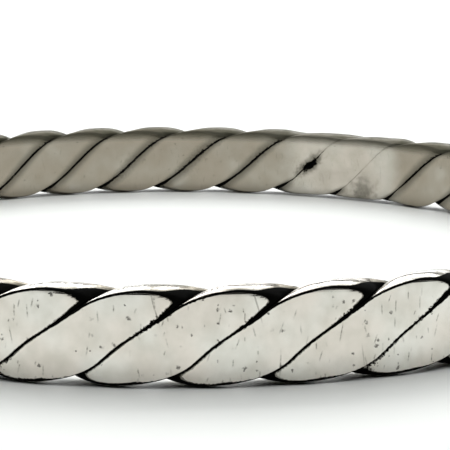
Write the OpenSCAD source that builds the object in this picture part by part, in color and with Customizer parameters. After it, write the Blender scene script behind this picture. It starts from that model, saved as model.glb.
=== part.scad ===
// Closed bangle made of three thick wires, twisted into a rope, rolled flat and bent round.
// The ring lies on its side: Z is the axis of the hollow, and the band stands on Z = 0.
// A section of the band is drawn in a plane through Z, as [outwards, upwards] from its own centre.
// A turn angle goes round that section: 0 faces outwards, 90 up, 180 inwards, -90 down.

/* [Band] */
// Inside diameter of the ring
inner_d = 65; // [58:0.5:72]
// Height of the band, from the surface it lies on to its top
band_h = 6.2; // [5.4:0.1:7.5]
// Radial thickness of the rolled band
band_t = 2; // [1.8:0.1:2.6]
// Radial thickness of the rope before it was rolled flat
rope_t = 4.8; // [4:0.1:5.6]
// How sharp the corners between the rolled faces and the edges are
corner_sharpness = 8; // [4:1:12]

/* [Twist] */
// Lobes counted once round the outside
lobe_count = 37; // [34:1:42]
// Turn angle of the first strand at the front, which sets where the lobes lie
front_turn = 64; // [0:1:119]
// How far each strand bulges out of the rope, as a power
strand_bulge = 0.5; // [0.3:0.05:0.8]
// How far the crest of a lobe on the edges lags behind the strand's middle
crest_lag = 6; // [0:1:12]
// Turn angle by which the grooves on the outer face bow upwards
groove_bow = 6; // [0:1:12]

/* [Grooves] */
// Gap between neighbouring pieces
gap = 0.1; // [0.1:0.01:0.16]
// Depth of a groove on the rolled faces
face_groove = 0.25; // [0.15:0.05:0.4]
// Depth of a groove on the rounded edges
edge_groove = 0.4; // [0.2:0.05:0.6]
// How squarely a strand meets the groove on the rolled faces
face_squareness = 36; // [20:1:60]
// How squarely a strand meets the groove on the rounded edges
edge_squareness = 12; // [8:1:20]

/* [Solder joint] */
// Where the middle of the joint lies round the ring, counted from +X towards +Y
joint_angle = 56; // [0:1:90]
// Length of the joint as an angle round the ring
joint_span = 22; // [8:1:30]
// Share of the grooves' and hollows' depth that solder fills
joint_fill = 0.75; // [0.3:0.05:0.9]
// How much lower and thinner than the band the joint is filed
joint_filed = 0.1; // [0:0.02:0.2]
// Share of the joint's length over which the solder thins out towards either end
joint_fading = 0.25; // [0.1:0.05:0.5]

/* [Hidden] */
silver = "silver";
solder = "lightgray";
strand_count = 3;
strand_turn = 360 / strand_count;
half_strand = strand_turn / 2;
mid_r = inner_d / 2 + band_t / 2;
front_angle = 270;
// The twist goes on by this much from one section to the next, so that the corners of all
// sections lie on the same lines along the band, with a flat stretch at the top and the bottom
turn_step = 20;
rope_h = band_h / cos(turn_step / 2);
// Turn angles of a strand's outer points, counted from its middle
strand_steps = [-60, -56, -40, -20, 0, 20, 40, 56, 60];
turn_per_ring_angle = lobe_count / strand_count;
// Where a groove bows most, and how quickly the bow fades away from there
bow_turn = -20;
bow_fading = 8;
gap_angle = gap / mid_r * 180 / PI;

function mix(a, b, t) = a + (b - a) * t;
function unit(v) = v / norm(v);
function turned_left(v) = [-v.y, v.x];
function mean(list) = [for (v = list) 1] * list / len(list);

// Turn angle of the first strand's middle at an angle round the ring, and back
function first_turn(ring_angle) = front_turn + (ring_angle - front_angle) * turn_per_ring_angle;
function ring_angle_of(turn) = front_angle + (turn - front_turn) / turn_per_ring_angle;
function snapped(ring_angle) = ring_angle_of(turn_step * round(first_turn(ring_angle) / turn_step));

joint_start = snapped(joint_angle - joint_span / 2);
joint_end = snapped(joint_angle + joint_span / 2);

// 1 where the rollers have not touched, down to 0 as they press the rope flat
function left_round(u) = pow(1 + pow(abs(u) / (band_t / 2), corner_sharpness), -1 / corner_sharpness);

// Point of the section, where reach is 1 on the rope's round outline and less between the strands
function rope_point(a, reach) =
    let (bowed = a + groove_bow * pow((1 + cos(a - bow_turn)) / 2, bow_fading),
         u = rope_t / 2 * reach * cos(bowed))
    [u * left_round(u), rope_h / 2 * reach * sin(bowed)];

function rope_normal(a) =
    let (flattened = pow(left_round(rope_t / 2 * cos(a)), corner_sharpness + 1))
    unit([rope_h / 2 * cos(a), rope_t / 2 * sin(a) * flattened]);

// 0 on the rolled faces and 1 at the top and the bottom of the band
function edge_share(a) = abs(rope_normal(a).y);

// How far a strand reaches out, where from_middle is the turn angle from the strand's middle
function strand_reach(a, from_middle) =
    let (lag = crest_lag * edge_share(a) * (1 - pow(from_middle / half_strand, 2)))
    pow(cos(from_middle - lag), strand_bulge);

// Depth of the groove beside a strand
function groove_depth(a, from_middle) =
    mix(face_groove, edge_groove, edge_share(a)) * pow(abs(from_middle) / half_strand,
        mix(face_squareness, edge_squareness, edge_share(a)));

// Point on a strand's skin; kept is the share of the hollows and grooves that is not filled
function skin_point(a, from_middle, kept = 1) =
    rope_point(a, mix(1, strand_reach(a, from_middle), kept))
        - kept * groove_depth(a, from_middle) * rope_normal(a);

// Corner of a strand next to the gap, on the groove's bottom
function wall_point(a, from_middle) =
    let (bottom = skin_point(a, half_strand))
    bottom - sign(from_middle) * gap / 2 * turned_left(unit(bottom));

// Corner of a strand at the band's centre, where its two walls meet
function inner_corner(middle) =
    let (before = unit(skin_point(middle - half_strand, half_strand)),
         after = unit(skin_point(middle + half_strand, half_strand)),
         half_angle = acos(before * after) / 2)
    gap / 2 / sin(half_angle) * unit(before + after);

function strand_section(middle) = concat(
    [inner_corner(middle)],
    [for (s = strand_steps)
        abs(s) == half_strand ? wall_point(middle + s, s) : skin_point(middle + s, s)]);

// Solder lies over all strands, so the joint's grooves fade to traces
function joint_section(first_middle, soldered) =
    [for (s = [0 : turn_step : 359])
        let (from_middle = s % strand_turn,
             p = skin_point(first_middle + s,
                 min(from_middle, strand_turn - from_middle), 1 - joint_fill * soldered))
        p - joint_filed * soldered * unit(p)];

// 0 at the ends of the joint and 1 where it is fully soldered
function soldered(ring_angle) =
    min(1, min(ring_angle - joint_start, joint_end - ring_angle)
        / (joint_fading * (joint_end - joint_start)));

function on_ring(p, ring_angle) = [
    (mid_r + p.x) * cos(ring_angle),
    (mid_r + p.x) * sin(ring_angle),
    band_h / 2 + p.y];

// Closed solid through sections that all have the same number of points. Each quad is split along
// the corners of the band, and a strand's last wall is split as its neighbour's first wall is.
module swept(sections, mirror_last = false) {
    n = len(sections[0]);
    last = len(sections) - 1;
    points = concat([for (s = sections) each s], [mean(sections[0]), mean(sections[last])]);
    first_centre = len(points) - 2;
    last_centre = len(points) - 1;
    sides = [for (i = [0 : last - 1], j = [0 : n - 1])
        let (p = i * n + j, q = i * n + (j + 1) % n)
        each mirror_last && j == n - 1
            ? [[p, q, q + n], [p, q + n, p + n]]
            : [[p, q, p + n], [q, q + n, p + n]]];
    caps = [for (j = [0 : n - 1])
        let (k = (j + 1) % n)
        each [[first_centre, k, j], [last_centre, last * n + j, last * n + k]]];
    polyhedron(points, concat(sides, caps));
}

module strand(number) {
    step = turn_step / turn_per_ring_angle;
    angles = concat(
        [joint_end + gap_angle],
        [for (r = [joint_end + step : step : joint_start + 360 - step / 2]) r],
        [joint_start + 360 - gap_angle]);
    color(silver) swept(mirror_last = true, sections = [for (r = angles)
        [for (p = strand_section(first_turn(r) + number * strand_turn)) on_ring(p, r)]]);
}

module solder_joint() {
    step = turn_step / turn_per_ring_angle;
    color(solder) swept([for (r = [joint_start : step : joint_end + step / 2])
        [for (p = joint_section(first_turn(r), soldered(r))) on_ring(p, r)]]);
}

strand(0);  // strand_a
strand(1);  // strand_b
strand(2);  // strand_c
solder_joint();
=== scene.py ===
import math
from functools import partial

import bpy
from mathutils import Matrix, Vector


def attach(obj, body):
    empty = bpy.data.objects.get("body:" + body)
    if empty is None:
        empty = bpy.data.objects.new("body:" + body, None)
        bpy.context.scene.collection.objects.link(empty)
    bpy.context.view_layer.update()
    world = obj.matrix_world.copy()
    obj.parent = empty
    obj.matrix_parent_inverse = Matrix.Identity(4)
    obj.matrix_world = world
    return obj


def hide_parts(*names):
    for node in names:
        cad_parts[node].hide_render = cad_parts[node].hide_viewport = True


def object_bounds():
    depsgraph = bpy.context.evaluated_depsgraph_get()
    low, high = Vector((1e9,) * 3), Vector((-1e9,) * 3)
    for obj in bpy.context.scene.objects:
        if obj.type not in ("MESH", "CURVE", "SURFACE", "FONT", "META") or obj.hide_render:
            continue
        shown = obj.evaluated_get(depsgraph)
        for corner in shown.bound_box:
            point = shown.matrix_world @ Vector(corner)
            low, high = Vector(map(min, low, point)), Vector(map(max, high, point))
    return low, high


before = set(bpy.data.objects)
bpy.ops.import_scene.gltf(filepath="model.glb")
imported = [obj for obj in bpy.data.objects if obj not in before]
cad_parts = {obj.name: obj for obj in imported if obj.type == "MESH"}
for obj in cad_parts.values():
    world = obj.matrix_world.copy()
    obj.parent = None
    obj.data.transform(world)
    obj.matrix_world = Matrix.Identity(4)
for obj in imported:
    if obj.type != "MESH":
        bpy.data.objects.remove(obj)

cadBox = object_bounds()
mm = 0.001
print("frame: the solids are loaded")

# Kinds of node that come up again and again
calc = "ShaderNodeMath"
vectorCalc = "ShaderNodeVectorMath"
mapRange = "ShaderNodeMapRange"
mixValues = "ShaderNodeMix"
noiseTexture = "ShaderNodeTexNoise"
separateXyz = "ShaderNodeSeparateXYZ"
combineXyz = "ShaderNodeCombineXYZ"
rotateVector = "ShaderNodeVectorRotate"
attribute = "ShaderNodeAttribute"


# Adds a node with its settings; inputs are values or what they are linked to, in order or by key
def addNode(tree, kind, inputs=(), **settings):
    node = tree.nodes.new(kind)
    for setting, value in settings.items():
        setattr(node, setting, value)
    for key, value in inputs.items() if isinstance(inputs, dict) else enumerate(inputs):
        if isinstance(value, bpy.types.Node):
            value = value.outputs[0]
        if isinstance(value, bpy.types.NodeSocket):
            tree.links.new(value, node.inputs[key])
        else:
            node.inputs[key].default_value = value
    return node


# An sRGB hex colour as the linear values that nodes take
def linear(hexColour):
    parts = [int(hexColour[i : i + 2], 16) / 255 for i in (1, 3, 5)]
    return [p / 12.92 if p <= 0.04045 else ((p + 0.055) / 1.055) ** 2.4 for p in parts] + [1.0]


# Camera, low above the floor and close to the front of the ring
viewpoint = {
    "place": (-13.8, -139.5, 30.9),  # mm
    "down": 11.16,  # degrees
    "right": 7.14,
    "roll": 0.32,
    "lens": 146.5,  # mm, for a sensor 36 mm wide
}
camera = bpy.data.objects.new("camera", bpy.data.cameras.new("camera"))
camera.data.sensor_width = 36.0
camera.data.lens = viewpoint["lens"]
camera.data.clip_start = 0.01
turned = (
    Matrix.Rotation(math.radians(-viewpoint["right"]), 4, "Z")
    @ Matrix.Rotation(math.radians(90 - viewpoint["down"]), 4, "X")
    @ Matrix.Rotation(math.radians(viewpoint["roll"]), 4, "Z")
)
camera.matrix_world = Matrix.Translation([c * mm for c in viewpoint["place"]]) @ turned
bpy.context.scene.collection.objects.link(camera)
bpy.context.scene.camera = camera
print("camera: placed")

# Studio: a wide softbox above the ring, a second one high up behind that keeps the far floor white, and a
# white wall at the back, near the horizon. The room is dark elsewhere.
studio = {
    "dark": 0.008,  # strength of the room
    "wall": 1.7,  # behind, near the horizon
    "wallStart": (68, 74),  # degrees back from straight up, where it starts and where it is full
    "softboxes": {
        "overheadSoftbox": {
            "place": (0, -11, 200),  # mm
            "size": (500, 262),
            "radiance": 1.63,
        },
        "backSoftbox": {
            "place": (0, 400, 350),
            "size": (1000, 400),
            "radiance": 3.2,
        },
    },
}


def buildStudio(look):
    world = bpy.data.worlds.new("studio")
    bpy.context.scene.world = world
    world.use_nodes = True
    tree = world.node_tree
    add = partial(addNode, tree)
    part = add(separateXyz, [add("ShaderNodeTexCoord").outputs["Generated"]])
    leanBack = add(calc, [part.outputs["Y"], part.outputs["Z"]], operation="ARCTAN2")
    start, end = [math.radians(angle) for angle in look["wallStart"]]
    strength = add(mapRange, [leanBack, start, end, look["dark"], look["wall"]],
                   interpolation_type="SMOOTHSTEP")
    room = tree.nodes["Background"]
    room.inputs["Color"].default_value = (1, 1, 1, 1)
    tree.links.new(strength.outputs[0], room.inputs["Strength"])
    for name, box in look["softboxes"].items():
        light = bpy.data.lights.new(name, "AREA")
        light.shape = "RECTANGLE"
        light.size, light.size_y = [side * mm for side in box["size"]]
        light.energy = box["radiance"] * math.pi * light.size * light.size_y
        softbox = bpy.data.objects.new(name, light)
        softbox.location = [c * mm for c in box["place"]]
        bpy.context.scene.collection.objects.link(softbox)


buildStudio(studio)

# Floor of matt white acrylic: a broad, weak sheen with a soft shadow where the ring touches it
floorLook = {
    "colour": "#F1F4F1",
    "roughness": 0.45,
    "size": 3.0,  # m
}


def buildFloor(look):
    half = look["size"] / 2
    mesh = bpy.data.meshes.new("floor")
    corners = [(-half, -half, 0), (half, -half, 0), (half, half, 0), (-half, half, 0)]
    mesh.from_pydata(corners, [], [(0, 1, 2, 3)])
    floor = bpy.data.objects.new("floor", mesh)
    bpy.context.scene.collection.objects.link(floor)
    material = bpy.data.materials.new("mattWhiteAcrylic")
    material.use_nodes = True
    shader = material.node_tree.nodes["Principled BSDF"]
    shader.inputs["Base Color"].default_value = linear(look["colour"])
    shader.inputs["Roughness"].default_value = look["roughness"]
    mesh.materials.append(material)


buildFloor(floorLook)
bpy.context.scene.view_settings.view_transform = "Standard"
print("stage: floor and studio")


# One straight thin scratch in a share of the surface's cells, cut off by its cell; crowd raises that share
def scratchMask(add, place, crowd, look):
    cells = add("ShaderNodeTexVoronoi", {"Vector": place, "Scale": 1 / look["cell"]},
                voronoi_dimensions="2D")
    chance = add("ShaderNodeSeparateColor", [cells.outputs["Color"]])
    inCell = add(vectorCalc, [place, cells.outputs["Position"]], operation="SUBTRACT")
    lean = add(mapRange, [chance.outputs[0], 0.0, 1.0, look["leanLeast"], look["leanMost"]])
    straight = add(rotateVector, {"Vector": inCell, "Angle": lean}, rotation_type="Z_AXIS")
    part = add(separateXyz, [straight])
    across = add(calc, [part.outputs["X"]], operation="ABSOLUTE")
    along = add(calc, [part.outputs["Y"]], operation="ABSOLUTE")
    sharpWidth = 0.2 * look["width"]
    leastLength = 0.2 * look["length"]
    thin = add(mapRange, [across, look["width"], sharpWidth], interpolation_type="SMOOTHSTEP")
    length = add(mapRange, [chance.outputs[1], 0.0, 1.0, leastLength, look["length"]])
    ends = add(calc, [along, length], operation="DIVIDE")
    fading = add(mapRange, [ends, 1.0, 0.3], interpolation_type="SMOOTHSTEP")
    share = add(calc, [crowd, look["share"]], operation="MULTIPLY")
    # A scratch is faint in a cell that only just has one
    there = add(mapRange, [add(calc, [share, chance.outputs[2]], operation="SUBTRACT"), 0.0, 0.25])
    mark = add(calc, [thin, fading], operation="MULTIPLY")
    return add(calc, [mark, there], operation="MULTIPLY")


# Sterling silver, rolled, oxidised black with sulphide and then polished: it mirrors the floor softly, the
# grooves stay black, and wear has left scratches, pits and a cloudy warm film. Painted shade darkens the
# lower edge, and the top edge on the joint's half of the ring
def silverMaterial(name, look):
    material = bpy.data.materials.new(name)
    material.use_nodes = True
    tree = material.node_tree
    add = partial(addNode, tree)
    shader = tree.nodes["Principled BSDF"]
    metres = add("ShaderNodeTexCoord").outputs["Object"]
    place = add(vectorCalc, {0: metres, "Scale": 1 / mm}, operation="SCALE")
    unpolished = add(attribute, attribute_name="unpolished").outputs["Fac"]
    bandPlace = add(attribute, attribute_name="bandPlace").outputs["Vector"]
    part = add(separateXyz, [bandPlace])
    outward = part.outputs["Y"]
    soldered = add(attribute, attribute_name="soldered").outputs["Fac"]
    # Along the band, and across it: upwards on the faces and outwards on the edges
    unrolled = add(calc, [outward, part.outputs["Z"]], operation="ADD")
    flatPlace = add(combineXyz, [part.outputs["X"], unrolled])

    cloud = add(noiseTexture, {"Vector": place, "Scale": 1 / look["cloudSize"], "Detail": 3.0})
    tint = add(noiseTexture, {"Vector": place, "Scale": 1 / look["tintSize"], "Detail": 1.0})
    crumbs = add(noiseTexture, {"Vector": place, "Scale": 1 / look["crumbSize"], "Detail": 3.0})
    crowding = add(noiseTexture, {"Vector": place, "Scale": 1 / look["crowdSize"], "Detail": 1.0})
    crowd = add(mapRange, [crowding.outputs[0], *look["crowded"]], interpolation_type="SMOOTHSTEP")
    swaying = add(noiseTexture, {"Vector": place, "Scale": 1 / look["swaySize"]})
    sway = add(vectorCalc, [swaying.outputs[1], (0.5, 0.5, 0.5)], operation="SUBTRACT")
    swayed = add(vectorCalc, [sway, (look["sway"],) * 3, flatPlace], operation="MULTIPLY_ADD")
    ragged = add(vectorCalc, [sway, (look["pitSway"],) * 3, flatPlace], operation="MULTIPLY_ADD")

    marks = scratchMask(add, swayed, crowd, look["fineScratches"])
    marks = add(calc, [marks, scratchMask(add, swayed, 1.0, look["longScratches"])], operation="MAXIMUM")
    broken = add(mapRange, [crumbs.outputs[0], *look["markBreaks"], look["leastMark"], 1.0])
    worn = add(mapRange, [outward, *look["outside"], look["wearInside"], 1.0])
    marks = add(calc, [marks, add(calc, [broken, worn], operation="MULTIPLY")], operation="MULTIPLY")

    # Pits, more of them beside the grooves, with an edge that the crumbs make ragged
    pitCells = add("ShaderNodeTexVoronoi", {"Vector": ragged, "Scale": 1 / look["pitCell"]},
                   voronoi_dimensions="2D")
    pitChance = add("ShaderNodeSeparateColor", [pitCells.outputs["Color"]])
    near = add(mapRange, [unpolished, -look["pitsBeside"], 0.0, look["pitShare"], look["pitShareAtGroove"]])
    pitCrowd = add(calc, [crowd, look["pitShare"], near], operation="MULTIPLY_ADD")
    chanceLeft = add(calc, [pitCrowd, pitChance.outputs[0]], operation="SUBTRACT")
    pitThere = add(mapRange, [chanceLeft, 0.0, look["faintPits"]])
    pitSize = add(mapRange, [pitChance.outputs[1], 0.0, 1.0, *look["pitRadius"]])
    away = add(calc, [pitCells.outputs["Distance"], look["pitCell"]], operation="MULTIPLY")
    fromPit = add(calc, [away, pitSize], operation="DIVIDE")
    pitEdge = add(calc, [crumbs.outputs[0], look["pitRaggedness"], fromPit], operation="MULTIPLY_ADD")
    inPit = add(mapRange, [pitEdge, *look["pitRim"]], interpolation_type="SMOOTHSTEP")
    pits = add(calc, [add(calc, [inPit, pitThere], operation="MULTIPLY"), worn], operation="MULTIPLY")

    # Sulphide: black where the polishing wheel did not reach, with a crumbly edge and a brown film round it.
    # Along the bottom edge the black is wider than that, as painted shade for the dark floor that edge
    # mirrors
    crumble = add(mapRange, [crowd, *look["crumblyPlaces"], look["crumble"], look["crumbleInPlaces"]])
    lowEnd = add(mapRange, [part.outputs["Z"], *look["lowCorner"], 0.0, look["crumbleLow"]])
    crumble = add(calc, [crumble, lowEnd], operation="ADD")
    crumbly = add(calc, [add(calc, [crumbs.outputs[0], 0.5], operation="SUBTRACT"), crumble],
                  operation="MULTIPLY")
    reached = add(calc, [crumbly, unpolished], operation="ADD")
    black = add(mapRange, [reached, -look["blackEdge"], look["blackEdge"]],
                interpolation_type="SMOOTHSTEP")
    patchy = add(mapRange, [tint.outputs[0], *look["filmPatches"], look["leastFilm"], 1.0],
                 interpolation_type="SMOOTHSTEP")
    fromMiddle = add(calc, [outward], operation="ABSOLUTE")
    onEdge = add(mapRange, [fromMiddle, *look["corner"]], interpolation_type="SMOOTHSTEP")
    filmStart = add(mapRange, [onEdge, 0.0, 1.0, -look["filmWidth"], -look["filmWidthOnEdge"]])
    film = add(mapRange, [reached, filmStart, 0.0, 0.0, look["filmAmount"]],
               interpolation_type="SMOOTHSTEP")
    film = add(calc, [film, patchy], operation="MULTIPLY")
    spotty = add(mapRange, [cloud.outputs[0], *look["spots"], 0.0, look["spotsOnEdge"]])
    film = add(calc, [film, add(calc, [onEdge, spotty], operation="MULTIPLY")], operation="MAXIMUM")
    # On the inner face, where a wheel hardly gets, a wide stain lies beside each groove and a film all over
    inside = add(mapRange, [outward, *look["inside"]], interpolation_type="SMOOTHSTEP")
    stain = add(mapRange, [reached, -look["stainWidth"], 0.0, 0.0, look["stainAmount"]],
                interpolation_type="SMOOTHSTEP")
    stain = add(calc, [stain, inside], operation="MULTIPLY")
    # Painted shade: on the joint's half of the ring the top edge, but for its outer corner, is painted dark
    # in place of the dark reflection that edge shows
    fromJoint = add(calc, [part.outputs["X"], look["jointPlace"]], operation="SUBTRACT")
    fromJoint = add(calc, [fromJoint, look["radius"]], operation="DIVIDE")
    jointHalf = add(mapRange, [add(calc, [fromJoint], operation="COSINE"), *look["jointHalf"]])
    upper = add(mapRange, [part.outputs["Z"], *look["paintedTopShadeUp"]], interpolation_type="SMOOTHSTEP")
    across = add(mapRange, [outward, *look["paintedTopShadeIn"]], interpolation_type="SMOOTHSTEP")
    paintedTopShade = add(calc, [add(calc, [jointHalf, upper], operation="MULTIPLY"), across], operation="MULTIPLY")
    paintedTopShade = add(calc, [paintedTopShade, look["paintedTopShadeAmount"]], operation="MULTIPLY")
    # Over the joint the film thins out, with the tint's clouds as its edge
    filmEdge = add(calc, [tint.outputs[0], look["cleanRaggedness"], soldered], operation="MULTIPLY_ADD")
    clean = add(mapRange, [filmEdge, *look["cleanEdge"]])
    mostFilm = add(mapRange, [clean, 0.0, 1.0, look["innerFilm"], look["solderedFilm"]])
    innerShare = add(calc, [inside, mostFilm], operation="MULTIPLY")
    uneven = add(mapRange, [tint.outputs[0], *look["innerTint"], *look["innerUneven"]])
    innerShare = add(calc, [innerShare, uneven], operation="MULTIPLY", use_clamp=True)

    tintShare = add(mapRange, [tint.outputs[0], *look["warmTint"]], interpolation_type="SMOOTHSTEP")
    cloudShare = add(mapRange, [cloud.outputs[0], *look["clouds"], 0.0, look["cloudAmount"]])
    markShare = add(calc, [marks, look["markAmount"]], operation="MULTIPLY")
    pitShare = add(calc, [pits, look["pitAmount"]], operation="MULTIPLY")
    colour = add(mixValues, {0: tintShare, 6: linear(look["silver"]), 7: linear(look["warmSilver"])},
                 data_type="RGBA").outputs[2]
    layers = (
        (cloudShare, "cloudColour"),
        (innerShare, "innerColour"),
        (film, "filmColour"),
        (stain, "stainColour"),
        (paintedTopShade, "paintedTopShadeColour"),
        (markShare, "markColour"),
        (pitShare, "pitColour"),
        (black, "sulphideAndPaintedShade"),
    )
    for share, layer in layers:
        layered = add(mixValues, {0: share, 6: colour, 7: linear(look[layer])}, data_type="RGBA")
        colour = layered.outputs[2]
    tree.links.new(colour, shader.inputs["Base Color"])
    # Sulphide is a crust and a thick film takes much of the mirror away; the painted shade on the top edge
    # takes the mirror away too
    filmCrust = add(calc, [film, look["filmDulls"]], operation="MULTIPLY")
    crustAndPaintedShade = add(calc, [filmCrust, paintedTopShade], operation="MAXIMUM")
    metallic = add(calc, [1.0, add(calc, [crustAndPaintedShade, black], operation="MAXIMUM")], operation="SUBTRACT")
    tree.links.new(metallic.outputs[0], shader.inputs["Metallic"])
    # The sulphide is a porous crust that hardly shines, and the metal doesn't take this value
    shader.inputs["Specular IOR Level"].default_value = look["sulphideShine"]

    hazed = add(mapRange, [cloud.outputs[0], *look["haze"], *look["roughness"]])
    scuffed = add(calc, [marks, look["markRoughness"], hazed], operation="MULTIPLY_ADD")
    dull = add(mixValues, {0: black, 2: scuffed, 3: look["sulphideRoughness"]})
    tree.links.new(dull.outputs[0], shader.inputs["Roughness"])

    dents = add(noiseTexture, {"Vector": place, "Scale": 1 / look["dentSize"], "Detail": 1.0})
    height = add(calc, [dents.outputs[0], look["dentDepth"]], operation="MULTIPLY")
    height = add(calc, [marks, -look["markDepth"], height], operation="MULTIPLY_ADD")
    height = add(calc, [pits, -look["pitDepth"], height], operation="MULTIPLY_ADD")
    crumbDepth = add(calc, [black, look["crumbDepth"]], operation="MULTIPLY")
    height = add(calc, [crumbs.outputs[0], crumbDepth, height], operation="MULTIPLY_ADD")
    # The edges keep the lines of the wire drawing, which the rollers pressed out of the faces
    wirePlace = add(attribute, attribute_name="wirePlace").outputs["Vector"]
    drawn = add(noiseTexture, {"Vector": wirePlace, "Scale": 1 / look["drawnWidth"], "Detail": 1.0})
    drawnDepth = add(calc, [onEdge, look["drawnDepth"]], operation="MULTIPLY")
    height = add(calc, [drawn.outputs[0], drawnDepth, height], operation="MULTIPLY_ADD")
    bump = add("ShaderNodeBump", {"Strength": 1.0, "Distance": mm, "Height": height})
    tree.links.new(bump.outputs[0], shader.inputs["Normal"])
    return material


# Sizes are in mm, and the widths of the black's edge, the film and the stain are in the measure of the
# unpolished attribute. A pair of noise values says where something starts and where it is full, and lies
# round 0.5, where most of a noise is.
strandLook = {
    "silver": "#E9E7E0",
    "warmSilver": "#E6DFD6",
    "warmTint": (0.35, 0.65),  # noise
    "tintSize": 3.5,
    "roughness": (0.088, 0.1375),  # clear and hazy
    "haze": (0.3, 0.7),  # noise
    "cloudSize": 1.3,
    "clouds": (0.35, 0.7),  # noise
    "cloudAmount": 0.42,
    "cloudColour": "#BDB9AC",
    "innerTint": (0.3, 0.7),  # noise
    "innerUneven": (0.75, 1.2),  # share of the inner film, in its thin and its thick places
    "innerFilm": 0.93,
    "solderedFilm": 0.4,
    "cleanEdge": (0.95, 2.45),  # sum of solder and noise, where the film starts to thin and where it is thin
    "cleanRaggedness": 2.5,
    "innerColour": "#857B69",
    "inside": (0.3, -0.8),  # outwards from the band's middle, where the film starts and where it is full
    "crumbSize": 0.15,
    "crumble": 0.12,  # how far the crumbs move the edge of the black
    "crumbleInPlaces": 0.5,
    "crumblyPlaces": (0.3, 1.0),  # crowding, where they start and where they crumble fully
    "crumbleLow": 0.08,
    "lowCorner": (-2.2, -2.8),  # upwards from the band's middle
    "crumbDepth": 0.02,
    "blackEdge": 0.015,
    "filmWidth": 0.06,
    "filmWidthOnEdge": 0.85,
    "filmAmount": 0.8,
    "filmPatches": (0.4, 0.6),  # noise
    "leastFilm": 0.5,  # share of it that is left in its thin patches
    "filmDulls": 0.85,  # how much of the mirror it takes
    "filmColour": "#615E4E",
    "corner": (0.87, 0.72),  # away from the band's middle, where a face ends and where an edge starts
    "spots": (0.5, 0.65),  # noise
    "spotsOnEdge": 0.6,
    "stainWidth": 0.75,
    "stainAmount": 0.8,
    "stainColour": "#57544A",
    # Painted shade on the top edge of the joint's half of the ring: where it lies, how dark it is and its
    # colour
    "jointHalf": (-0.3, 0.3),  # cosine of the angle round the ring from the joint
    "paintedTopShadeAmount": 0.75,
    "paintedTopShadeColour": "#4E4E40",
    "paintedTopShadeUp": (1.8, 2.6),  # upwards from the band's middle, where the painted shade starts and where it is full
    "paintedTopShadeIn": (0.95, 0.5),  # the same, going inwards from the outer corner
    "jointPlace": 32.7,  # along the middle of the band, from +X
    "radius": 33.5,  # of the ring, to the middle of the band
    # The black of the sulphide in the hollows, which also paints the shade along the lower edge
    "sulphideAndPaintedShade": "#060605",
    "sulphideRoughness": 0.7,
    "sulphideShine": 0.02,
    "outside": (-0.8, 0.5),  # outwards from the band's middle, from the inner face's wear to the full wear
    "wearInside": 0.3,  # share of the full wear
    "crowdSize": 2.6,  # how far apart the scratched places lie
    "crowded": (0.42, 0.66),  # noise
    "swaySize": 0.35,
    "sway": 0.05,  # of the scratches
    "pitSway": 0.3,  # of the pits' outlines
    "fineScratches": {
        "cell": 0.85,
        "width": 0.07,  # several times a real one, so that it shows
        "length": 0.6,
        "leanLeast": -0.3,  # radians from upright
        "leanMost": 0.4,
        "share": 0.9,
    },
    "longScratches": {
        "cell": 3.0,
        "width": 0.07,
        "length": 1.5,
        "leanLeast": -0.3,
        "leanMost": 0.3,
        "share": 0.4,
    },
    "markBreaks": (0.35, 0.55),  # noise of the crumbs
    "leastMark": 0.25,  # share of a scratch's strength where they break it
    "markAmount": 0.5,
    "markColour": "#5E5B52",
    "markRoughness": 0.2,
    "markDepth": 0.003,
    "pitCell": 0.75,
    "pitRadius": (0.051, 0.17),
    "faintPits": 0.1,  # share of the cells whose pits are faint
    "pitShare": 0.2,
    "pitShareAtGroove": 0.6,
    "pitsBeside": 0.1,  # how far from a groove's black the pits stay crowded
    "pitRaggedness": 3.0,
    "pitRim": (2.5, 1.6),  # in pit radii, with the raggedness in it
    "pitAmount": 0.75,
    "pitColour": "#2E2B25",
    "pitDepth": 0.008,
    "drawnWidth": 0.16,
    "drawnDepth": 0.014,
    "dentSize": 1.3,
    "dentDepth": 0.02,
}
strandSilver = silverMaterial("polishedOxidisedSterlingSilver", strandLook)

# Silver solder, filed and polished with the band: the same metal to the eye, with fewer pits. Its cleaner
# inner face comes from the soldered attribute.
jointLook = dict(strandLook, pitShare=0.08)
jointSolder = silverMaterial("filedSilverSolder", jointLook)
print("materials: oxidised sterling silver and silver solder")

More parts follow.
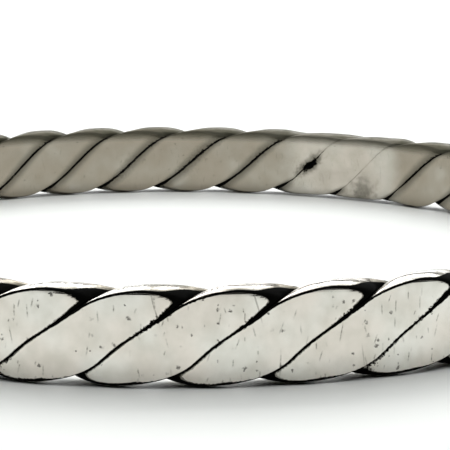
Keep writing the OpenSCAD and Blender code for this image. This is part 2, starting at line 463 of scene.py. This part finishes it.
# The rolled rope, in mm and radians, with its outer size from the solids
solidLow, solidHigh = cadBox
strandCount = 3
halfStrand = math.pi / strandCount
halfThickness = 1.0  # of the rolled band
frontAngle = math.radians(270)  # round the ring, from +X
ropeSizes = {
    "middleRadius": round(solidHigh[0] / mm, 1) - halfThickness,
    "halfHeight": round((solidHigh[2] - solidLow[2]) / mm, 1) / 2,
    "halfThickness": halfThickness,
    "halfRope": 2.75,  # half the radial thickness before rolling
    "cornerSharpness": 8.0,
    "lobeCount": 37.0,
    "frontTurn": math.radians(62),
    "strandBend": 2.6,  # the higher, the later a strand drops towards its grooves
    "topDrop": 0.21,  # share of the reach that is lost between two strands
    "bottomDrop": 0.235,
    "topLag": math.radians(4),
    "bottomLag": math.radians(9),
    "faceBow": math.radians(9.6),  # how the grooves bow on the outer face, and at the top
    "faceBowTurn": math.radians(-27),
    "faceBowFading": 13.0,
    "topBow": math.radians(12.5),
    "topBowTurn": math.radians(83),
    "topBowFading": 30.0,
    "faceGroove": 0.25,
    "edgeGroove": 0.4,
    "grooveFillPower": 3.0,  # solder fills the grooves sooner than the hollows
    "faceSquareness": 80.0,  # the higher, the narrower a groove
    "edgeSquareness": 12.0,
    "leastUneven": 0.75,  # how much the squareness and the black beside a groove vary
    "mostUneven": 1.7,
    "unevenScale": 0.8,  # waves in 1 mm
    "polishedFace": 1.2,  # the wheel polishes what lay further out than this before rolling
    "faceAtLeft": 1.85,  # at the left end of each lobe
    "lowFace": 1.38,  # and the same at the bottom, where the wider black is painted shade
    "lowFaceAtLeft": 0.65,
    "ridge": 0.84,  # and what lay nearer to the band's middle than this
    "ridgeAtLeft": 1.45,
    # At the bottom the black reaches in to here, wider than at the top: painted shade for the dark floor that
    # the lower edge mirrors
    "lowRidge": 0.5,
    "ridgeAtEnd": -2.3,
    "hollowStart": 0.35,  # where the black starts to widen, as a share of the way to the lobe's end
    "hollowPower": 1.9,  # the higher, the later it does
    "blackSlope": 1.5,  # how fast the polish comes in beyond the black line
    "lowLeftSlope": 0.5,
    "rubbed": 0.6,  # how far skin has rubbed the black off the inner corners
    "blackBeside": 0.08,  # beside each groove
    "blackBesideEnd": 0.22,  # added to it towards the top
    "rightShare": 0.15,  # share of what is added that the right of a lobe gets
    "rightShareAtTop": 0.5,
    "grooveSlope": 2.0,  # how fast the polish comes in beside a groove
    "rounding": 0.5,  # where the black of a corner meets that of a groove
    "backLag": math.radians(-22),  # of the twist behind an even one, at the back of the ring
    "slowWobble": math.radians(3.05),  # the hand-made unevenness of the twist, in waves round the ring
    "slowWaves": 7.0,
    "slowStart": math.radians(-14.4),
    "quickWobble": math.radians(0.5),
    "quickWaves": 16.0,
    "quickStart": math.radians(-39),
    "waviness": 0.03,
    "waveLength": 2.2,
    "lineShortening": 0.05,  # of lengths along the wire, so that a noise there makes lines
}

# Where on a section the polish changes. Heights are sines of the turn angle. Left and right go from -1 at the
# left of a lobe to 1 at its right.
polishRanges = {
    "lowHeight": (0.0, -0.6),
    "highHeight": (0.0, 0.7),
    "topHeight": (0.55, 0.85),
    "leftHalf": (0.0, -1.0),
    "leftSide": (0.0, -0.6),
    "leftToRight": (-0.6, 0.6),
    "strip": (0.0, -0.2),  # away from the ridge
    "rubbedCorner": (-0.2, -0.6),  # mm outwards from the band's middle
}


# 1 where the rollers have not touched, down to 0 as they press the rope flat
def leftRound(add, size, out):
    pressed = add(calc, [add(calc, [out], operation="ABSOLUTE"), size["halfThickness"]], operation="DIVIDE")
    raised = add(calc, [add(calc, [pressed, size["cornerSharpness"]], operation="POWER"), 1.0],
                 operation="ADD")
    return add(calc, [raised, add(calc, [-1.0, size["cornerSharpness"]], operation="DIVIDE")],
               operation="POWER")


# How far the grooves bow at a turn angle, most of it round one place
def bowed(add, size, turn, name):
    away = add(calc, [add(calc, [turn, size[name + "Turn"]], operation="SUBTRACT")], operation="COSINE")
    share = add(calc, [add(calc, [away, 0.5, 0.5], operation="MULTIPLY_ADD"), size[name + "Fading"]],
                operation="POWER")
    return add(calc, [share, size[name]], operation="MULTIPLY")


# Angle in a section, and how far outwards that is before rolling; reach is 1 on the rope's round outline
def ropeOut(add, size, turn, reach):
    bow = add(calc, [bowed(add, size, turn, "faceBow"), bowed(add, size, turn, "topBow")], operation="ADD")
    angle = add(calc, [turn, bow], operation="ADD")
    ropeReach = add(calc, [reach, size["halfRope"]], operation="MULTIPLY")
    return angle, add(calc, [add(calc, [angle], operation="COSINE"), ropeReach], operation="MULTIPLY")


# Point of a section as (outwards, upwards)
def ropePoint(add, size, turn, reach):
    angle, out = ropeOut(add, size, turn, reach)
    rolled = add(calc, [out, leftRound(add, size, out)], operation="MULTIPLY")
    highReach = add(calc, [reach, size["halfHeight"]], operation="MULTIPLY")
    up = add(calc, [add(calc, [angle], operation="SINE"), highReach], operation="MULTIPLY")
    return add(combineXyz, [rolled, up])


def ropeNormal(add, size, turn):
    cosine = add(calc, [turn], operation="COSINE")
    sine = add(calc, [turn], operation="SINE")
    left = leftRound(add, size, add(calc, [cosine, size["halfRope"]], operation="MULTIPLY"))
    flattened = add(calc, [left, add(calc, [size["cornerSharpness"], 1.0], operation="ADD")],
                    operation="POWER")
    out = add(calc, [cosine, size["halfHeight"]], operation="MULTIPLY")
    up = add(calc, [add(calc, [sine, size["halfRope"]], operation="MULTIPLY"), flattened],
             operation="MULTIPLY")
    return add(vectorCalc, [add(combineXyz, [out, up])], operation="NORMALIZE")


# Section points on the ring, in mm
def onRing(add, size, ringAngle, point):
    part = add(separateXyz, [point])
    radius = add(calc, [size["middleRadius"], part.outputs["X"]], operation="ADD")
    east = add(calc, [radius, add(calc, [ringAngle], operation="COSINE")], operation="MULTIPLY")
    north = add(calc, [radius, add(calc, [ringAngle], operation="SINE")], operation="MULTIPLY")
    up = add(calc, [size["halfHeight"], part.outputs["Y"]], operation="ADD")
    return add(combineXyz, [east, north, up])


# Point on a strand's skin, where kept is the share of the hollows and grooves that is not filled, and how
# far it lies from what the polishing wheel reaches, with painted shade along the lower edge counted in
def skinPoint(add, size, ringAngle, turn, fromMiddle, kept):
    normal = ropeNormal(add, size, turn)
    edgeShare = add(calc, [add(separateXyz, [normal]).outputs["Y"]], operation="ABSOLUTE")
    part = add(calc, [add(calc, [fromMiddle, halfStrand], operation="DIVIDE")], operation="ABSOLUTE")
    towardsMiddle = add(calc, [1.0, add(calc, [part, part], operation="MULTIPLY")], operation="SUBTRACT")
    height = add(calc, [turn], operation="SINE")
    lag = add(mapRange, [height, -1.0, 1.0, size["bottomLag"], size["topLag"]])
    lag = add(calc, [add(calc, [lag, edgeShare], operation="MULTIPLY"), towardsMiddle], operation="MULTIPLY")
    fromCrest = add(calc, [add(calc, [fromMiddle, lag], operation="SUBTRACT"), 1 / halfStrand],
                    operation="MULTIPLY")
    bend = add(calc, [add(calc, [fromCrest], operation="ABSOLUTE"), size["strandBend"]], operation="POWER")
    drop = add(mapRange, [height, -1.0, 1.0, size["bottomDrop"], size["topDrop"]])
    reach = add(calc, [1.0, add(calc, [bend, drop], operation="MULTIPLY")], operation="SUBTRACT")
    keptReach = add(mixValues, {0: kept, 2: 1.0, 3: reach})
    outlinePlace = onRing(add, size, ringAngle, ropePoint(add, size, turn, 1.0))
    uneven = add(noiseTexture, {"Vector": outlinePlace, "Scale": size["unevenScale"], "Detail": 1.0})
    unevenShare = add(mapRange, [uneven.outputs[0], 0.25, 0.75, size["leastUneven"], size["mostUneven"]])
    squareness = add(mixValues, {0: edgeShare, 2: size["faceSquareness"], 3: size["edgeSquareness"]})
    squareness = add(calc, [squareness, unevenShare], operation="MULTIPLY")
    depth = add(mixValues, {0: edgeShare, 2: size["faceGroove"], 3: size["edgeGroove"]})
    depth = add(calc, [depth, add(calc, [part, squareness], operation="POWER")], operation="MULTIPLY")
    unfilled = add(calc, [kept, size["grooveFillPower"]], operation="POWER")
    depth = add(calc, [depth, unfilled], operation="MULTIPLY")
    point = add(vectorCalc, [ropePoint(add, size, turn, keptReach),
                             add(vectorCalc, {0: normal, "Scale": depth}, operation="SCALE")],
                operation="SUBTRACT")
    spot = add(separateXyz, [point])
    # Between the outer face and an edge a line stays black, from the ridge out to the polished face. It
    # grows into the whole hollow at a lobe's right end, and at the bottom at both ends. At the top left it
    # lies lower.
    # Along the bottom the black is drawn wider, over the lower edge: that part is painted shade, standing in
    # for the dark floor next to the contact that this edge mirrors
    right = add(calc, [fromMiddle, -1 / halfStrand], operation="MULTIPLY")
    low = add(mapRange, [height, *polishRanges["lowHeight"]])
    endward = add(calc, [right, add(calc, [part, low], operation="MULTIPLY")], operation="MAXIMUM")
    pastStart = add(mapRange, [endward, size["hollowStart"], 1.0])
    atEnd = add(calc, [pastStart, size["hollowPower"]], operation="POWER")
    atLeft = add(mapRange, [right, *polishRanges["leftHalf"]])
    out = ropeOut(add, size, turn, keptReach)[1]
    ridge = add(mixValues, {0: atLeft, 2: size["ridge"], 3: size["ridgeAtLeft"]})
    ridge = add(mixValues, {0: low, 2: ridge, 3: size["lowRidge"]})
    ridge = add(mixValues, {0: atEnd, 2: ridge, 3: size["ridgeAtEnd"]})
    pastRidge = add(calc, [out, ridge], operation="SUBTRACT")
    ridgeGap = add(calc, [pastRidge, size["blackSlope"]], operation="MULTIPLY")
    highFace = add(mixValues, {0: atLeft, 2: size["polishedFace"], 3: size["faceAtLeft"]})
    lowFace = add(mixValues, {0: atLeft, 2: size["lowFace"], 3: size["lowFaceAtLeft"]})
    face = add(mixValues, {0: low, 2: highFace, 3: lowFace})
    # The lower left tips are only half polished, with a ragged edge
    lowLeft = add(calc, [low, atLeft], operation="MULTIPLY")
    slope = add(mapRange, [lowLeft, 0.0, 1.0, size["blackSlope"], size["lowLeftSlope"]])
    faceGap = add(calc, [add(calc, [face, out], operation="SUBTRACT"), slope], operation="MULTIPLY")
    inner = add(mapRange, [spot.outputs["X"], *polishRanges["rubbedCorner"]])
    rubbedOff = add(calc, [inner, size["rubbed"]], operation="MULTIPLY")
    cornerGap = add(calc, [add(calc, [ridgeGap, faceGap], operation="MINIMUM"), rubbedOff],
                    operation="SUBTRACT")
    # The black beside a groove gets wider towards the top, at the left of a lobe more than at its right, but
    # the strip beyond the ridge stays bright at the left
    rightShare = add(mapRange, [height, *polishRanges["topHeight"],
                                size["rightShare"], size["rightShareAtTop"]])
    share = add(mapRange, [right, *polishRanges["leftToRight"], 1.0, rightShare],
                interpolation_type="SMOOTHSTEP")
    onStrip = add(mapRange, [ridgeGap, *polishRanges["strip"]])
    bright = add(calc, [onStrip, add(mapRange, [right, *polishRanges["leftSide"]])], operation="MULTIPLY")
    share = add(calc, [share, add(calc, [1.0, bright], operation="SUBTRACT")], operation="MULTIPLY")
    high = add(mapRange, [height, *polishRanges["highHeight"]], interpolation_type="SMOOTHSTEP")
    extra = add(calc, [add(calc, [share, high], operation="MULTIPLY"), size["blackBesideEnd"]],
                operation="MULTIPLY")
    width = add(calc, [extra, unevenShare, size["blackBeside"]], operation="MULTIPLY_ADD")
    fromGroove = add(calc, [add(calc, [1.0, part], operation="SUBTRACT"), size["grooveSlope"]],
                     operation="MULTIPLY")
    grooveGap = add(calc, [width, fromGroove], operation="SUBTRACT")
    unpolished = add(calc, [cornerGap, grooveGap, size["rounding"]], operation="SMOOTH_MAX")
    # The waves go inwards only, so that the band stays within its size
    waves = add(calc, [1.0, size["waveLength"]], operation="DIVIDE")
    wave = add(noiseTexture, {"Vector": outlinePlace, "Scale": waves, "Detail": 1.0})
    wave = add(calc, [add(calc, [wave.outputs[0], 1.0], operation="SUBTRACT"), size["waviness"]],
               operation="MULTIPLY")
    point = add(vectorCalc, [point, add(vectorCalc, {0: normal, "Scale": wave}, operation="SCALE")],
                operation="ADD")
    return point, unpolished


# Puts the points on the ring, stores what the materials read and ends the tree
def finishTree(add, size, mesh, ringAngle, fromMiddle, point, unpolished, soldered, material):
    arc = add(calc, [ringAngle, size["middleRadius"]], operation="MULTIPLY")
    across = add(calc, [fromMiddle, size["halfHeight"]], operation="MULTIPLY")
    along = add(calc, [arc, size["lineShortening"]], operation="MULTIPLY")
    spot = add(separateXyz, [point])
    stored = mesh.outputs["Mesh"]
    for name, value, kind in (
        ("bandPlace", add(combineXyz, [arc, spot.outputs["X"], spot.outputs["Y"]]), "FLOAT_VECTOR"),
        ("unpolished", unpolished, "FLOAT"),
        ("soldered", soldered, "FLOAT"),
        ("wirePlace", add(combineXyz, [across, along]), "FLOAT_VECTOR"),
    ):
        stored = add("GeometryNodeStoreNamedAttribute", {0: stored, 2: name, 3: value}, data_type=kind)
    inMetres = add(vectorCalc, {0: onRing(add, size, ringAngle, point), "Scale": mm}, operation="SCALE")
    ends = add("FunctionNodeBooleanMath", [mesh.outputs["Top"], mesh.outputs["Bottom"]], operation="OR")
    smooth = add("GeometryNodeSetShadeSmooth", [stored, ends, False])
    smooth = add("GeometryNodeSetShadeSmooth", [smooth, ends, False], domain="EDGE")
    placed = add("GeometryNodeSetPosition", {0: smooth, 2: inMetres})
    # The shorter diagonals run along the band's corners
    split = add("GeometryNodeTriangulate", [placed], quad_method="SHORTEST_DIAGONAL")
    real = add("GeometryNodeRealizeInstances", [split])
    silvered = add("GeometryNodeSetMaterial", {0: real, 2: material})
    add("NodeGroupOutput", [silvered])


# The tree's own inputs, one for each named size
def sizeInputs(tree, names):
    tree.interface.new_socket("Geometry", in_out="OUTPUT", socket_type="NodeSocketGeometry")
    for name in names:
        tree.interface.new_socket(name, in_out="INPUT", socket_type="NodeSocketFloat")
    entry = tree.nodes.new("NodeGroupInput")
    return {name: entry.outputs[name] for name in names}


# Angle round the ring at a point of the unit cylinder, angle round the cylinder, and the first strand's turn
def ringPlace(add, size):
    spot = add(separateXyz, [add("GeometryNodeInputPosition")])
    ringAngle = add(mapRange, [spot.outputs["Z"], 0.5, -0.5, size["ringStart"], size["ringEnd"]])
    around = add(calc, [spot.outputs["Y"], spot.outputs["X"]], operation="ARCTAN2")
    fromFront = add(calc, [ringAngle, frontAngle], operation="SUBTRACT")
    twist = add(calc, [size["lobeCount"], strandCount], operation="DIVIDE")
    turn = add(calc, [fromFront, twist, size["frontTurn"]], operation="MULTIPLY_ADD")
    back = add(calc, [add(calc, [fromFront], operation="COSINE"), -0.5, 0.5], operation="MULTIPLY_ADD")
    turn = add(calc, [back, size["backLag"], turn], operation="MULTIPLY_ADD")
    for name in ("slow", "quick"):
        phase = add(calc, [ringAngle, size[name + "Waves"], size[name + "Start"]], operation="MULTIPLY_ADD")
        turn = add(calc, [add(calc, [phase], operation="SINE"), size[name + "Wobble"], turn],
                   operation="MULTIPLY_ADD")
    return ringAngle, around, turn


def strandTree(names, material, pointsRound, pointsAlong, wallPoints):
    tree = bpy.data.node_groups.new("twistedStrand", "GeometryNodeTree")
    add = partial(addNode, tree)
    size = sizeInputs(tree, names)
    mesh = add("GeometryNodeMeshCylinder", [pointsRound, pointsAlong, 1, 1.0, 1.0])
    ringAngle, around, firstTurn = ringPlace(add, size)
    middle = add(calc, [size["strandTurn"], firstTurn], operation="ADD")
    # Most points go to the skin, close together at the grooves, and the rest to the two walls inside
    skinShare = math.pi * (1 - 2 * wallPoints / pointsRound)
    onSkin = add(mapRange, [around, -skinShare, skinShare, -math.pi / 2, math.pi / 2])
    fromMiddle = add(calc, [add(calc, [onSkin], operation="SINE"), halfStrand], operation="MULTIPLY")
    turn = add(calc, [middle, fromMiddle], operation="ADD")
    point, unpolished = skinPoint(add, size, ringAngle, turn, fromMiddle, 1.0)
    fromSkin = add(mapRange, [add(calc, [around], operation="ABSOLUTE"), skinShare, math.pi])
    # Neighbouring strands stay a hair apart
    part = add(calc, [fromMiddle, halfStrand], operation="DIVIDE")
    closeness = add(calc, [add(calc, [part], operation="ABSOLUTE"), size["gapPower"]], operation="POWER")
    side = add(calc, [add(calc, [part], operation="SIGN"), closeness], operation="MULTIPLY")
    shift = add(calc, [side, add(calc, [size["gap"], -0.5], operation="MULTIPLY")], operation="MULTIPLY")
    outwards = add(vectorCalc, [point], operation="NORMALIZE")
    sideways = add(rotateVector, {"Vector": outwards, "Angle": math.pi / 2}, rotation_type="Z_AXIS")
    point = add(vectorCalc, [point, add(vectorCalc, {0: sideways, "Scale": shift}, operation="SCALE")],
                operation="ADD")
    # The two walls meet near the middle of the section
    strandOut = add(vectorCalc, [ropePoint(add, size, middle, 1.0)], operation="NORMALIZE")
    core = add(vectorCalc, {0: strandOut, "Scale": size["gap"]}, operation="SCALE")
    point = add(mixValues, {0: fromSkin, 4: point, 5: core}, data_type="VECTOR").outputs[1]
    unpolished = add(calc, [unpolished, fromSkin], operation="ADD")
    finishTree(add, size, mesh, ringAngle, fromMiddle, point, unpolished, 0.0, material)
    return tree


def jointTree(names, material, pointsRound, pointsAlong):
    tree = bpy.data.node_groups.new("solderedJoint", "GeometryNodeTree")
    add = partial(addNode, tree)
    size = sizeInputs(tree, names)
    mesh = add("GeometryNodeMeshCylinder", [pointsRound, pointsAlong, 1, 1.0, 1.0])
    ringAngle, around, firstTurn = ringPlace(add, size)
    # All three strands in one skin, with its points close together at each groove
    nearest = add(calc, [add(calc, [around, 2 * halfStrand], operation="DIVIDE")], operation="ROUND")
    middle = add(calc, [nearest, 2 * halfStrand], operation="MULTIPLY")
    offset = add(calc, [around, middle], operation="SUBTRACT")
    offset = add(calc, [offset, math.pi / 2 / halfStrand], operation="MULTIPLY")
    fromMiddle = add(calc, [add(calc, [offset], operation="SINE"), halfStrand], operation="MULTIPLY")
    turn = add(calc, [add(calc, [firstTurn, middle], operation="ADD"), fromMiddle], operation="ADD")
    fromStart = add(calc, [ringAngle, size["ringStart"]], operation="SUBTRACT")
    fromEnd = add(calc, [size["ringEnd"], ringAngle], operation="SUBTRACT")
    fromEnds = add(calc, [fromStart, fromEnd], operation="MINIMUM")
    soldered = add(mapRange, [fromEnds, 0.0, size["fading"]], interpolation_type="SMOOTHSTEP")
    # One place inside stayed unfilled, and dirt sticks to another
    outline = ropePoint(add, size, turn, 1.0)
    spot = add(separateXyz, [outline])
    outlinePlace = onRing(add, size, ringAngle, outline)
    ragged = add(noiseTexture, {"Vector": outlinePlace, "Scale": size["raggedScale"]})
    fromInside = add(calc, [spot.outputs["X"], size["halfThickness"]], operation="ADD")
    rim = (1.6, 0.8)  # where either place starts and where it is full, with the raggedness in it
    inThere = {}
    for name in ("hole", "dirt"):
        fromSpot = add(calc, [ringAngle, size[name]], operation="SUBTRACT")
        fromSpot = add(calc, [fromSpot, size["middleRadius"]], operation="MULTIPLY")
        aboveSpot = add(calc, [spot.outputs["Y"], size[name + "Height"]], operation="SUBTRACT")
        leaning = add(rotateVector, {"Vector": add(combineXyz, [fromSpot, aboveSpot, fromInside]),
                                     "Angle": size["lean"]}, rotation_type="Z_AXIS")
        spread = add(combineXyz, [size[name + "Width"], size[name + "Length"], 1.0])
        away = add(vectorCalc, [add(vectorCalc, [leaning, spread], operation="DIVIDE")], operation="LENGTH")
        away = add(calc, [ragged, size["raggedness"], away.outputs["Value"]], operation="MULTIPLY_ADD")
        inThere[name] = add(mapRange, [away, *rim], interpolation_type="SMOOTHSTEP")
    hole = inThere["hole"]
    covered = add(calc, [soldered, add(calc, [1.0, hole], operation="SUBTRACT")], operation="MULTIPLY")
    filled = add(calc, [covered, size["fill"]], operation="MULTIPLY")
    kept = add(calc, [1.0, filled], operation="SUBTRACT")
    point, unpolished = skinPoint(add, size, ringAngle, turn, fromMiddle, kept)
    # Filing leaves the solder clean, but for the lower edge
    clean = add(mapRange, [spot.outputs["Y"], size["cleanFrom"], size["cleanTo"], 0.0, size["cleaned"]],
                interpolation_type="SMOOTHSTEP")
    unpolished = add(calc, [unpolished, add(calc, [covered, clean], operation="MULTIPLY")],
                     operation="SUBTRACT")
    for name, there in inThere.items():
        stained = add(mapRange, [there, 0.0, 1.0, size["leastStain"], size[name + "Stain"]])
        unpolished = add(calc, [unpolished, stained], operation="MAXIMUM")
    filed = add(calc, [soldered, add(calc, [size["filed"], -1.0], operation="MULTIPLY")],
                operation="MULTIPLY")
    inward = add(vectorCalc, {0: add(vectorCalc, [point], operation="NORMALIZE"), "Scale": filed},
                 operation="SCALE")
    point = add(vectorCalc, [point, inward], operation="ADD")
    finishTree(add, size, mesh, ringAngle, fromMiddle, point, unpolished, soldered, material)
    return tree


# Runs a tree on an empty object and keeps the result as a plain mesh at the origin
def makePiece(name, tree, sizes):
    base = bpy.data.objects.new(name, bpy.data.meshes.new(name))
    bpy.context.scene.collection.objects.link(base)
    modifier = base.modifiers.new("shape", "NODES")
    modifier.node_group = tree
    for item in tree.interface.items_tree:
        if item.in_out == "INPUT":
            modifier[item.identifier] = sizes[item.name]
    depsgraph = bpy.context.evaluated_depsgraph_get()
    mesh = bpy.data.meshes.new_from_object(base.evaluated_get(depsgraph))
    base.modifiers.remove(modifier)
    base.data = mesh
    mesh.name = name
    triangles = sum(len(face.vertices) - 2 for face in mesh.polygons)
    print(f"{name}: {len(mesh.vertices)} vertices, {triangles} triangles")
    return base


# The solder joint: where it lies, how it is filled and where it is stained
joint = {
    "shape": {
        "ringStart": math.radians(44.5),
        "ringEnd": math.radians(67.5),
        "fading": math.radians(4.5),
        "fill": 0.75,
        "filed": 0.1,
        "hole": math.radians(62),
        "holeHeight": 0.0,  # from the middle of the band
        "holeWidth": 1.0,
        "holeLength": 2.4,
        "holeStain": 0.04,
        "dirt": math.radians(52.5),
        "dirtHeight": -2.2,
        "dirtWidth": 1.8,
        "dirtLength": 2.2,
        "dirtStain": -0.2,
        "leastStain": -0.7,  # at the outer edge of either stain
        "lean": math.radians(-45),  # of the hole and the dirt
        "raggedness": 1.2,
        "raggedScale": 1.6,  # waves in 1 mm
        "cleaned": 0.6,
        "cleanFrom": -2.6,  # from the middle of the band
        "cleanTo": -1.6,
    },
    "mesh": {"pointsRound": 144, "pointsAlong": 160},
}
strand = {
    "shape": {
        "ringStart": joint["shape"]["ringEnd"],
        "ringEnd": joint["shape"]["ringStart"] + 2 * math.pi,
        "strandTurn": 0.0,  # of the first one
        "gap": 0.04,  # between neighbours
        "gapPower": 8.0,  # the higher, the closer to the groove it starts
    },
    "mesh": {"pointsRound": 70, "pointsAlong": 1370, "wallPoints": 4},
}

strandNodes = strandTree([*ropeSizes, *strand["shape"]], strandSilver, **strand["mesh"])
for number, node in enumerate(["strand_a", "strand_b", "strand_c"]):
    sizes = ropeSizes | strand["shape"] | {"strandTurn": number * 2 * halfStrand}
    piece = makePiece("silver" + node.title().replace("_", ""), strandNodes, sizes)
    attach(piece, "root")
    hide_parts(node)

jointNodes = jointTree([*ropeSizes, *joint["shape"]], jointSolder, **joint["mesh"])
piece = makePiece("solderedJoint", jointNodes, ropeSizes | joint["shape"])
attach(piece, "root")
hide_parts("solder_joint")
